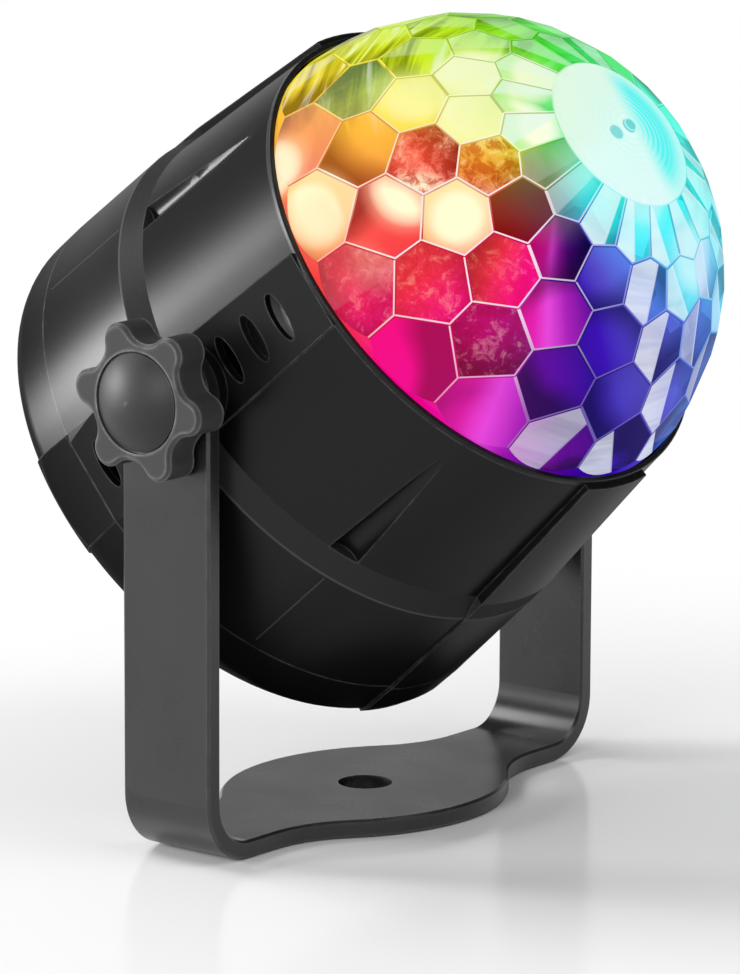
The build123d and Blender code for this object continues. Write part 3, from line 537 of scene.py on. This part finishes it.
facet_moods = {(ring, first + place): mood
               for ring, (first, moods) in enumerate(ring_moods) for place, mood in enumerate(moods)}
clear_facets = (range(12, 18), range(13, 18), range(13, 18), range(12, 18), range(9, 18))
crazed_facets = {(2, 8): 1.0, (3, 8): 1.0, (1, 9): 0.5, (1, 10): 0.5, (0, 9): 0.5,
                 (2, 10): 0.35, (1, 6): 0.15}


def deselect_all():
    bpy.ops.object.select_all(action='DESELECT')


def only(piece):
    deselect_all()
    piece.select_set(True)
    bpy.context.view_layer.objects.active = piece


def dome_copy():
    """The moulded dome as one closed mesh with its facets as single faces."""
    mesh = frame["nodes"]["faceted_dome"].data.copy()
    mesh.materials.clear()
    piece = bpy.data.objects.new("crystal_dome", mesh)
    bpy.context.scene.collection.objects.link(piece)
    only(piece)
    bpy.ops.object.mode_set(mode='EDIT')
    bpy.ops.mesh.select_all(action='SELECT')
    bpy.ops.mesh.remove_doubles(threshold=millimetre * weld_distance)
    bpy.ops.mesh.dissolve_limited(angle_limit=math.radians(flat_angle))
    bpy.ops.mesh.select_all(action='DESELECT')
    bpy.ops.object.mode_set(mode='OBJECT')
    return piece


def facet_directions():
    """Outward directions of the facets, ring by ring, in the dome's own order."""
    tilt = Matrix((Vector((1, 0, 0)), head_up, head_axis)).transposed()
    step = math.radians(360 / facets_round)
    found = []
    for ring, angle in enumerate(facet_rings):
        rise = math.radians(angle)
        for count in range(facets_round):
            turn = step * (count + 0.25 + 0.5 * (ring % 2))
            aside = math.sin(rise) * Vector((math.cos(turn), math.sin(turn), 0))
            found.append(tilt @ (aside + Vector((0, 0, math.cos(rise)))))
    return found


def facet_of(normal, directions):
    """Number of the facet that a face belongs to, or None."""
    best = max(range(len(directions)), key=lambda place: normal.dot(directions[place]))
    return best if normal.dot(directions[best]) > math.cos(math.radians(facet_tolerance)) else None


def mood_of(facet, chance):
    """Brightness, turn of the hue and strength of the split of one facet."""
    ring, count = divmod(facet, facets_round)
    if (ring, count) in facet_moods:
        return facet_moods[ring, count]
    tone = 0.5 if chance[0] > 0.84 else 0.80 + 0.2 * chance[1]
    split = 0.9 if count in clear_facets[ring] else 0.5 * (chance[2] > 0.6)
    return tone, 0.05 * (chance[1] - 0.5), split


def soften_facets(piece, directions):
    """Rounds the ridges between the facets."""
    mesh = piece.data
    own = {face.index: facet_of(face.normal, directions) for face in mesh.polygons}
    beside = {}
    for face in mesh.polygons:
        for key in face.edge_keys:
            beside.setdefault(key, []).append(own[face.index])
    for edge in mesh.edges:
        pair = beside.get(edge.key, [])
        edge.select = len(pair) == 2 and None not in pair and pair[0] != pair[1]
    bpy.ops.object.mode_set(mode='EDIT')
    bpy.ops.mesh.select_mode(type='EDGE')
    bpy.ops.mesh.bevel(offset=millimetre * ridge_width, segments=2, profile=0.6, clamp_overlap=True)
    bpy.ops.object.mode_set(mode='OBJECT')


def face_marks(face, directions, chances):
    """What a face of the dome carries: the values of its facet, or the side that its ridge looks to, for a painted
    highlight on ridges that look up and painted shade on the rest.
    """
    arm = face.center - dome_centre
    outer = arm.length > millimetre * inner_radius and arm.dot(face.normal) > 0
    angle = math.degrees(arm.angle(head_axis))
    marked = {"facet_centre": tuple(face.center), "facet_chance": (0.5, 0.5, 0.5), "facet_mood": (1, 0, 0),
              "facet_face": 0.0, "ridge_lit_side": 0.0, "facet_crazing": 0.0, "dome_outside": float(outer)}
    if not outer or not facets_end < angle < facets_start:
        return marked
    found = facet_of(face.normal, directions)
    if found is not None:
        crazing = crazed_facets.get(divmod(found, facets_round), 0.0)
        mood = mood_of(found, chances[found])
        marked.update(facet_chance=chances[found], facet_mood=mood, facet_face=1.0, facet_crazing=crazing)
    elif angle > ridges_end:
        # ridges leaning up and a little left take a painted highlight, the others painted shade
        lean = (face.normal - arm.normalized()).dot(photo_up - 0.4 * photo_right)
        marked["ridge_lit_side"] = 1.0 if lean > 0 else -1.0
    return marked


def mark_facets(piece, directions):
    """Writes what each face carries into the mesh, where the finish reads it."""
    mesh = piece.data
    mesh.update()
    chance = random.Random(chance_seed)
    chances = [(chance.random(), chance.random(), chance.random()) for _ in directions]
    rows = [face_marks(face, directions, chances) for face in mesh.polygons]
    for name, value in rows[0].items():
        kind, field = ('FLOAT', "value") if isinstance(value, float) else ('FLOAT_VECTOR', "vector")
        mesh.attributes.new(name, kind, 'FACE')
        for place, marked in zip(mesh.attributes[name].data, rows):
            setattr(place, field, marked[name])


def on_dome(right, up):
    """The spot on the facets this far right of and above the dome's middle in the photograph."""
    depth = math.sqrt(facet_radius ** 2 - right ** 2 - up ** 2)
    return dome_centre + millimetre * (right * photo_right + up * photo_up - depth * photo_forward)


# colours round the place where the lamps' beams meet, each with its share of a full turn
lamp_wheel = {
    "scarlet": (0.000, (1.0, 0.19, 0.11)), "red": (0.055, (0.95, 0.06, 0.06)),
    "ruby": (0.094, (0.92, 0.03, 0.07)), "crimson": (0.136, (0.92, 0.00, 0.22)),
    "rose": (0.175, (0.88, 0.00, 0.28)), "magenta": (0.213, (0.76, 0.01, 0.42)),
    "orchid": (0.226, (0.80, 0.06, 0.72)), "purple": (0.244, (0.40, 0.01, 0.48)),
    "violet": (0.265, (0.14, 0.00, 0.34)), "indigo": (0.310, (0.035, 0.00, 0.34)),
    "ultramarine": (0.335, (0.04, 0.00, 0.46)), "blue": (0.370, (0.09, 0.07, 0.58)),
    "azure": (0.418, (0.10, 0.25, 0.88)), "sky": (0.470, (0.12, 0.72, 1.0)),
    "cyan": (0.535, (0.04, 0.93, 0.97)), "turquoise": (0.605, (0.05, 1.0, 0.82)),
    "emerald": (0.662, (0.03, 0.80, 0.25)), "green": (0.727, (0.09, 0.80, 0.03)),
    "lime": (0.785, (0.42, 0.82, 0.01)), "yellow": (0.868, (0.95, 0.90, 0.03)),
    "amber": (0.925, (1.0, 0.55, 0.05)), "orange": (0.970, (1.0, 0.32, 0.06)),
}
beams_meet = (11.4, 10.35)
# the last of these is painted shade for the inside of the clear dome
muddy, nearly_black, inside_shade_grey = (0.42, 0.30, 0.26), (0.04, 0.04, 0.04), (0.012, 0.012, 0.014)
lilac_white, warm_white = (0.92, 0.97, 1.0), (1.0, 0.97, 0.94)
yellow_glare, cyan_glare = (1.0, 0.99, 0.66), (0.86, 1.0, 1.0)
burnt_brown, pale_peach = (0.70, 0.28, 0.15), (1.0, 0.78, 0.5)
pearl, crescent_cyan = (0.92, 1.0, 0.96), (0.06, 0.92, 0.90)
ripple_mint, nub_teal = (0.60, 0.98, 0.95), (0.04, 0.62, 0.62)

# where a lamp lies close behind the facets: millimetres right and up in the photograph, reach and strength
bright_spots = (((-2, 8.4), 5.0, 1.0), ((-9.3, 9), 5.2, 1.0), ((-22, 9.5), 6.0, 1.0), ((-29, 14), 5.0, 0.9),
                ((0.5, 23.5), 7.5, 0.72), ((-9, 26), 7.0, 0.5), ((0, 30), 6.0, 0.8), ((9, 29), 6.0, 0.85),
                ((8.5, 22.5), 5.0, 0.9), ((35, 2), 7.0, 0.55), ((-15, -1), 3.6, 0.3), ((16, 14), 4.0, 0.3),
                ((27, 10), 6.0, 0.55))

# millimetres over which a part of the light sets in or fades, within a facet or from a place on the dome
rim_reach, burn_reach, split_highlight_reach = (1.5, 6.2), (4.4, 6.8), (0.12, 0.32)
muddy_reach, ridge_reach = (2.0, 8.0), (10.0, 30.0)
nub_ring_inside, nub_ring_outside, nub_shadow_edge = (0.4, 0.6), (1.2, 1.4), (1.2, 1.5)
ripple_reach, crescent_reach = (3.0, 10.0), (8.5, 13.4)
# the same, counted to the right of the dome's middle, above it or towards the sunny side in the photograph
streaks_fade, glare_cools, halves_fade = (-10.0, 12.0), (8.0, 18.0), (29.0, 36.0)
upper_part, sunny_side = (19.0, 30.0), (35.2, 38.8)

# how fine the noises and cells are, as their number in a metre
glow_scale, cloud_scale, light_cell_scale, fleck_scale = 45.0, 60.0, 190.0, 420.0

brightest_ridges = (-2, 4)
nub_shadow_shift = (-2.0, -1.1)
turned_over, thrown_aside = -0.3, 3.0
streak_shift, streaks_round, streaks_across = 4.0, 50.0, 400.0
split_slant, slant_chance, split_chance = 0.35, 1.3, 3.0


def read(tree, name, kind="Fac"):
    return add(tree, "ShaderNodeAttribute", attribute_name=name).outputs[kind]


def ring_streaks(tree, view):
    """Streaks of chance that run round the head's axis."""
    shifted = moved(tree, view.seen, scaled(tree, view.chance, millimetre * streak_shift))
    squeezed = scaled(tree, head_axis, times(tree, view.height, millimetre * streaks_across))
    return noise(tree, moved(tree, scaled(tree, shifted, streaks_round), squeezed), 1.0, 3, 0.55, 0.9)


def dome_view(tree):
    """Places, values and masks from which the dome's finish is worked out.

    The light behind a facet is seen turned over and thrown aside, and seen is the place where it lies.
    """
    view = SimpleNamespace()
    view.place = here(tree)
    view.centre = read(tree, "facet_centre", "Vector")
    view.chance = read(tree, "facet_chance", "Vector")
    view.on_facet = read(tree, "facet_face")
    view.tone, view.turn, view.split = parts(tree, read(tree, "facet_mood", "Vector"))
    view.arm = away(tree, view.place, dome_centre)
    view.height = reach(tree, view.arm, head_axis)
    view.inside = away(tree, view.place, view.centre)
    view.aside = away(tree, view.chance, (0.5, 0.5, 0.5))
    shifted = scaled(tree, view.aside, millimetre * thrown_aside)
    thrown = moved(tree, scaled(tree, view.inside, turned_over), shifted)
    view.seen = away(tree, moved(tree, view.place, scaled(tree, thrown, view.on_facet)), dome_centre)
    view.rightward = reach(tree, view.seen, photo_right)
    view.streaks = ring_streaks(tree, view)
    view.glow = noise(tree, moved(tree, view.seen, view.chance), glow_scale, 2, 0.5, 0.6)
    above = spread(tree, reach(tree, view.seen, photo_up), *upper_part, 0.0, 1.0)
    view.upper = times(tree, above, spread(tree, view.rightward, *streaks_fade, 1.0, 0.4))
    return view


def lamp_hue(tree, view):
    """Colour of the light that a facet shows, muddied where all the beams meet."""
    meeting = on_dome(*beams_meet) - dome_centre
    axis = meeting.normalized()
    side = (photo_right - photo_right.dot(axis) * axis).normalized()
    angle = reckon(tree, 'ARCTAN2', dot(tree, view.seen, axis.cross(side)), dot(tree, view.seen, side))
    share = plus(tree, spread(tree, angle, -math.pi, math.pi, 0.0, 1.0), view.turn)
    stops = [*lamp_wheel.values(), (1.0, lamp_wheel["scarlet"][1])]
    hue = ramp(tree, reckon(tree, 'FRACT', share), stops)
    near = spread(tree, gap(tree, view.seen, meeting), *muddy_reach, 0.7, 0.0, smooth=True)
    return blend(tree, near, hue, muddy)


def light_cells(tree, view):
    """Flat cells of chance, smaller than a facet, for lighter and darker patches of its painted light."""
    cells = add(tree, "ShaderNodeTexVoronoi")
    join(tree, moved(tree, view.place, view.chance), cells.inputs["Vector"])
    join(tree, light_cell_scale, cells.inputs["Scale"])
    return parts(tree, cells.outputs["Color"])[0]


def facet_shade(tree, view):
    """Painted light and shade within a facet: its slope, clouds, cells of chance, streaks and a dark rim."""
    slope = times(tree, reach(tree, view.inside, view.aside), 0.24)
    own_place = moved(tree, view.seen, scaled(tree, view.chance, 3.0))
    cloud = noise(tree, own_place, cloud_scale, 2, 0.5, 0.8)
    clouded = plus(tree, spread(tree, cloud, 0.3, 0.7, 0.80, 1.10), slope)
    cell_shade = times(tree, spread(tree, light_cells(tree, view), 0.0, 1.0, -0.35, 0.15), view.split)
    rimmed = times(tree, spread(tree, size(tree, view.inside), *rim_reach, 0.08, -0.16), view.on_facet)
    streaked = times(tree, view.upper, spread(tree, view.streaks, 0.36, 0.60, -0.45, 0.45))
    uneven = plus(tree, plus(tree, cell_shade, rimmed), streaked)
    shade = plus(tree, reckon(tree, 'MINIMUM', clouded, 1.1), uneven)
    return times(tree, larger(tree, shade, 0.4), view.tone, clamp=True)


def bright_places(tree, view):
    """Mask of the places where a lamp lies close behind the facets."""
    total = 0.0
    for spot, radius, strength in bright_spots:
        distance = gap(tree, view.seen, on_dome(*spot) - dome_centre)
        near = spread(tree, distance, 0.55 * radius, 1.3 * radius, strength, 0.0, smooth=True)
        total = larger(tree, total, near)
    return total


def burnt_out(tree, view, hue, toned):
    """Washes the facets out at the bright places, most in each facet's middle."""
    cloud = spread(tree, view.glow, 0.25, 0.6, 0.7, 1.05)
    pale = times(tree, bright_places(tree, view), cloud, clamp=True)
    off_middle = plus(tree, size(tree, view.inside), spread(tree, view.glow, 0.3, 0.7, -1.6, 1.6))
    middle = spread(tree, off_middle, *burn_reach, 1.0, 0.35, smooth=True)
    washing = times(tree, spread(tree, pale, 0.30, 0.95, 0.0, 1.0), middle)
    cooler = spread(tree, view.rightward, *glare_cools, 0.0, 1.0)
    glare = blend(tree, cooler, yellow_glare, cyan_glare)
    lit = blend(tree, times(tree, pale, 1.7, clamp=True), toned, blend(tree, 0.25, hue, glare))
    return blend(tree, washing, lit, glare)


def crazed(tree, view, hue, toned, lit):
    """Dark and pale flecks in the facets that show a crazed lamp behind them."""
    flecks = noise(tree, moved(tree, view.place, view.chance), fleck_scale, 5, 0.72, 0.5)
    crazing = read(tree, "facet_crazing")
    dark = times(tree, spread(tree, flecks, 0.52, 0.42, 0.0, 0.8), crazing)
    pale = times(tree, spread(tree, flecks, 0.54, 0.66, 0.0, 0.7), crazing)
    lit = blend(tree, dark, lit, multiplied(tree, toned, burnt_brown))
    return blend(tree, pale, lit, blend(tree, 0.5, hue, pale_peach))


def cut_halves(tree, view, hue, lit):
    """Painted pale halves of the split facets, a painted highlight line along each split, and painted glints in
    the dome's upper part.
    """
    meridian = arrange(tree, 'CROSS_PRODUCT', head_axis, away(tree, view.centre, dome_centre))
    sideways = reach(tree, view.inside, arrange(tree, 'NORMALIZE', meridian))
    slant = plus(tree, dot(tree, view.aside, (0.0, slant_chance, 0.0)), split_slant)
    lengthways = times(tree, reach(tree, view.inside, head_axis), slant)
    shift = dot(tree, view.aside, (split_chance, 0.0, 0.0))
    line = plus(tree, plus(tree, sideways, lengthways), shift)
    half = times(tree, spread(tree, line, 0.15, -0.15, 0.0, 1.0), view.split)
    half = times(tree, half, spread(tree, view.streaks, 0.36, 0.58, 0.78, 1.0))
    half = times(tree, half, spread(tree, view.rightward, *halves_fade, 1.0, 0.45))
    split_highlight = times(tree, spread(tree, reckon(tree, 'ABSOLUTE', line), *split_highlight_reach, 0.8, 0.0), view.split)
    glints = times(tree, view.upper, spread(tree, view.streaks, 0.57, 0.66, 0.0, 0.55))
    cut = times(tree, larger(tree, larger(tree, half, glints), split_highlight), view.on_facet)
    return blend(tree, cut, lit, blend(tree, 0.78, hue, lilac_white))


def ridge_lines(tree, view, hue, deep, lit):
    """Paints a highlight on the ridges that look up and shade on those that look down, fading the highlight away
    from the brightest ridges.
    """
    ridge = read(tree, "ridge_lit_side")
    off_brightest = gap(tree, view.place, on_dome(*brightest_ridges))
    brightness = spread(tree, off_brightest, *ridge_reach, 1.0, 0.14)
    down = times(tree, larger(tree, times(tree, ridge, -1.0), 0.0), 0.55)
    up = times(tree, larger(tree, ridge, 0.0), brightness)
    return blend(tree, up, blend(tree, down, lit, deep), blend(tree, 0.8, hue, warm_white))


def rippled_disc(tree, view, hue, from_nub):
    """The pole lens's mint disc with a cyan crescent on its sunny side and fine rings round its nub."""
    sunny = reach(tree, view.arm, photo_right + 0.5 * photo_up)
    crescent = times(tree, spread(tree, sunny, *sunny_side, 0.0, 1.0, smooth=True),
                     spread(tree, from_nub, *crescent_reach, 0.95, 0.35, smooth=True))
    disc = blend(tree, crescent, blend(tree, 0.80, hue, pearl), crescent_cyan)
    wave = reckon(tree, 'SINE', times(tree, from_nub, 2 * math.pi / ripple_pitch))
    rings = times(tree, spread(tree, wave, -0.6, 0.8, 0.0, 0.6),
                  spread(tree, from_nub, *ripple_reach, 1.0, 0.15))
    return blend(tree, rings, disc, ripple_mint)


def pole_lens(tree, view, hue, lit):
    """The plain lens at the pole, with a small ring at its nub and the shadow of the nub beside it."""
    from_nub = gap(tree, view.place, dome_centre + millimetre * pole_radius * head_axis)
    ring = times(tree, spread(tree, from_nub, *nub_ring_outside, 0.8, 0.0),
                 spread(tree, from_nub, *nub_ring_inside, 0.3, 1.0))
    shadow_right = facet_radius * head_axis.dot(photo_right) + nub_shadow_shift[0]
    shadow_up = facet_radius * head_axis.dot(photo_up) + nub_shadow_shift[1]
    from_shadow = gap(tree, view.place, on_dome(shadow_right, shadow_up))
    spots = larger(tree, ring, spread(tree, from_shadow, *nub_shadow_edge, 0.7, 0.0))
    disc = blend(tree, spots, rippled_disc(tree, view, hue, from_nub), nub_teal)
    from_axis = size(tree, arrange(tree, 'CROSS_PRODUCT', view.arm, head_axis))
    front = reckon(tree, 'GREATER_THAN', view.height, pole_height)
    lens = spread(tree, from_axis, lens_radius - lens_softness, lens_radius + lens_softness, 1.0, 0.0)
    return blend(tree, times(tree, lens, front), lit, disc)


def dome_finish():
    """Clear faceted polycarbonate; the lamps' light through it is painted on as emission, its inside as painted
    shade.
    """
    material, tree, shader = start("lit crystal dome")
    view = dome_view(tree)
    hue, shade = lamp_hue(tree, view), facet_shade(tree, view)
    deep = multiplied(tree, hue, blend(tree, 0.6, hue, nearly_black))
    toned = multiplied(tree, blend(tree, shade, deep, hue), spread(tree, shade, 0.0, 0.9, 0.35, 1.0))
    lit = burnt_out(tree, view, hue, toned)
    lit = crazed(tree, view, hue, toned, lit)
    lit = cut_halves(tree, view, hue, lit)
    lit = ridge_lines(tree, view, hue, deep, lit)
    lit = pole_lens(tree, view, hue, lit)
    # faces inside the dome and below the collar's height get painted shade; the outside gets the painted lamp
    # light, faintly in the base colour too
    above_collar = reckon(tree, 'GREATER_THAN', view.height, collar_height)
    outside = times(tree, read(tree, "dome_outside"), above_collar)
    faint_painted_light = multiplied(tree, lit, (0.06, 0.06, 0.06))
    feed(tree, shader, {"Base Color": blend(tree, outside, inside_shade_grey, faint_painted_light),
                        "Emission Color": blend(tree, outside, (0, 0, 0), lit),
                        "Emission Strength": 0.95,
                        "Roughness": use(tree, touch, low=0.05, high=0.12, dust=0.0)["Roughness"],
                        "Specular IOR Level": 0.0,
                        "Coat Weight": 0.09,
                        "Coat Roughness": 0.04,
                        "Transmission Weight": 0.05,
                        "IOR": 1.5})
    bump(tree, shader, view.glow, 0.15, 0.3)
    return material


def crystal_dome():
    directions = facet_directions()
    piece = dome_copy()
    soften_facets(piece, directions)
    mark_facets(piece, directions)
    only(piece)
    bpy.ops.object.shade_smooth_by_angle(angle=math.radians(smooth_angle))
    piece.data.materials.append(dome_finish())
    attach(piece, "rotor")
    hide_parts("faceted_dome")


# studio

# millimetres: the floor's width, its drop under the foot, and the distances over which it turns into paper
floor_width, floor_drop, paper_floor = 8000.0, 0.1, (60.0, 200.0)
# the rise of a mirrored ray over which the paper wall ends
paper_wall = (0.19, 0.32)

# place, height of the target on the z axis and width in metres, and power in watts
softboxes = {"back_left_box": ((-0.63, 1.13, 0.22), 0.08, 0.36, 17),
             "left_box": ((-1.1, -0.15, 0.45), 0.08, 0.45, 7),
             "overhead_box": ((-0.2, 0.66, 0.85), 0.05, 0.5, 6),
             "front_box": ((0.1, -0.7, 1.1), 0.05, 0.7, 4)}


def mirrored(tree, path):
    """1 for the rays that gloss and clear parts send out."""
    return reckon(tree, 'ADD', path["Is Glossy Ray"], path["Is Transmission Ray"], clamp=True)


def paper_white(tree, shader):
    """Turns the floor into plain white paper away from the part, for the eye and for mirrored rays."""
    path = add(tree, "ShaderNodeLightPath").outputs
    seen = reckon(tree, 'ADD', path["Is Camera Ray"], mirrored(tree, path), clamp=True)
    far = spread(tree, size(tree, here(tree)), *paper_floor, 0.0, 1.0, smooth=True)
    white = add(tree, "ShaderNodeEmission")
    join(tree, (1, 1, 1, 1), white.inputs["Color"])
    mixed = add(tree, "ShaderNodeMixShader")
    for place, source in enumerate((times(tree, far, seen), shader.outputs[0], white.outputs[0])):
        join(tree, source, mixed.inputs[place])
    out = next(made for made in tree.nodes if made.type == 'OUTPUT_MATERIAL')
    join(tree, mixed.outputs[0], out.inputs["Surface"])


def studio_floor():
    deselect_all()
    drop = -millimetre * floor_drop
    bpy.ops.mesh.primitive_plane_add(size=millimetre * floor_width, location=(0, 0, drop))
    floor = bpy.context.object
    floor.name = "studio_floor"
    material, tree, shader = start("pale studio floor")
    mottle = noise(tree, here(tree), 3.0, 2)
    feed(tree, shader, {"Base Color": blend(tree, mottle, (0.93, 0.93, 0.93), (0.95, 0.95, 0.95)),
                        "Roughness": 0.16})
    paper_white(tree, shader)
    floor.data.materials.append(material)


def studio_sky():
    """White to the eye, soft on the surfaces, and a paper wall with a dark top in the reflections."""
    world = bpy.data.worlds.new("studio")
    bpy.context.scene.world = world
    world.use_nodes = True
    tree = world.node_tree
    back = next(made for made in tree.nodes if made.type == 'BACKGROUND')
    join(tree, (1, 1, 1, 1), back.inputs["Color"])
    path = add(tree, "ShaderNodeLightPath").outputs
    rise = parts(tree, add(tree, "ShaderNodeTexCoord").outputs["Generated"])[2]
    paper = spread(tree, rise, *paper_wall, 1.0, 0.08, smooth=True)
    strength = spread(tree, mirrored(tree, path), 0.0, 1.0, 0.28, paper)
    join(tree, larger(tree, strength, path["Is Camera Ray"]), back.inputs["Strength"])


def softbox(name, place, target_height, width, power):
    lamp = bpy.data.lights.new(name, 'AREA')
    lamp.shape = 'SQUARE'
    lamp.size = width
    lamp.energy = power
    holder = bpy.data.objects.new(name, lamp)
    holder.location = place
    sight = Vector((0, 0, target_height)) - Vector(place)
    holder.rotation_euler = sight.to_track_quat('-Z', 'Y').to_euler()
    bpy.context.scene.collection.objects.link(holder)


def studio():
    studio_floor()
    studio_sky()
    for name, values in softboxes.items():
        softbox(name, *values)
    bpy.context.scene.view_settings.view_transform = 'Standard'


def dress_nodes():
    """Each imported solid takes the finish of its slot."""
    ready = finishes()
    slots = {row["node"]: row["material_slot"] for row in frame["record"]["subparts"]}
    for name, solid in frame["nodes"].items():
        if name != "faceted_dome":
            solid.data.materials.clear()
            solid.data.materials.append(ready[slots[name]])


place_camera()
crystal_dome()
dress_nodes()
studio()
